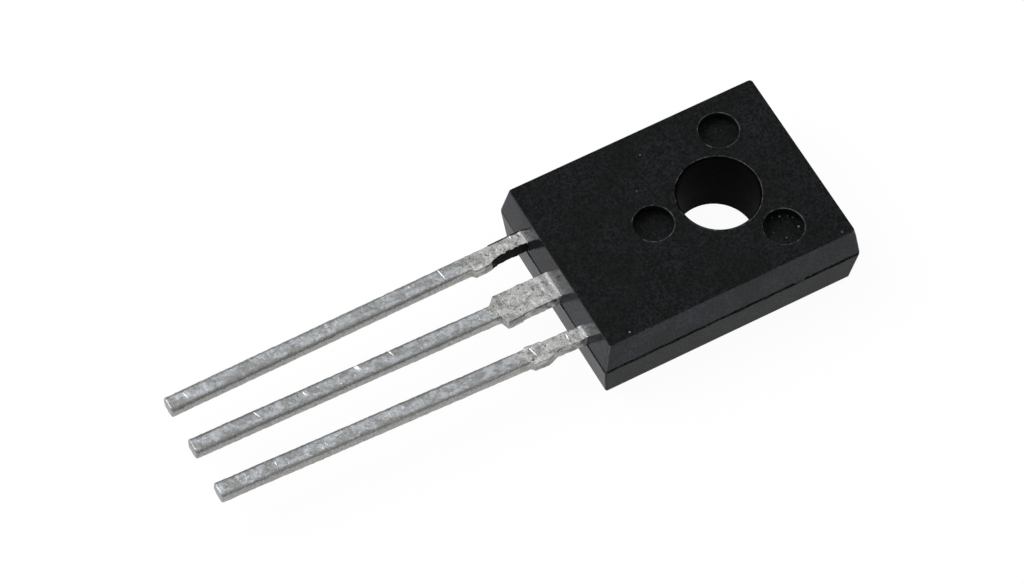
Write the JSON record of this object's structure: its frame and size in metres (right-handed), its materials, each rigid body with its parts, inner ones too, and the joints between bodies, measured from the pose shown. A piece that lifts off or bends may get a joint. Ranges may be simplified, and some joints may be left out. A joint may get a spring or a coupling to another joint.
{
  "type": "power transistor",
  "caption": "Fully moulded flat power transistor with a screw hole through the body and parallel tinned leads, for screwing to a heat sink and soldering to a board.",
  "frame": {"origin": "on the axis of the screw hole, in the plane of the back face", "axes": "+Z out of the marked front face along the screw hole, +Y along the body away from the leads, +X to the right seen from the front with the leads down"},
  "size_m": [0.008, 0.0255, 0.0032],
  "materials": {
    "moulding_compound": "fine matte front face, smoother satin sides",
    "tinned_copper": "solder-dipped tin, blotchy and lightly scratched",
    "silicon": "polished",
    "solder": "dull",
    "bond_wire": "drawn wire"
  },
  "bodies": {
    "root": {"moulded_body": "moulding_compound", "emitter_lead": "tinned_copper", "collector_lead": "tinned_copper", "base_lead": "tinned_copper", "collector_paddle": "tinned_copper", "silicon_die": "silicon", "die_solder": "solder", "emitter_wire": "bond_wire", "base_wire": "bond_wire"}
  },
  "joints": []
}
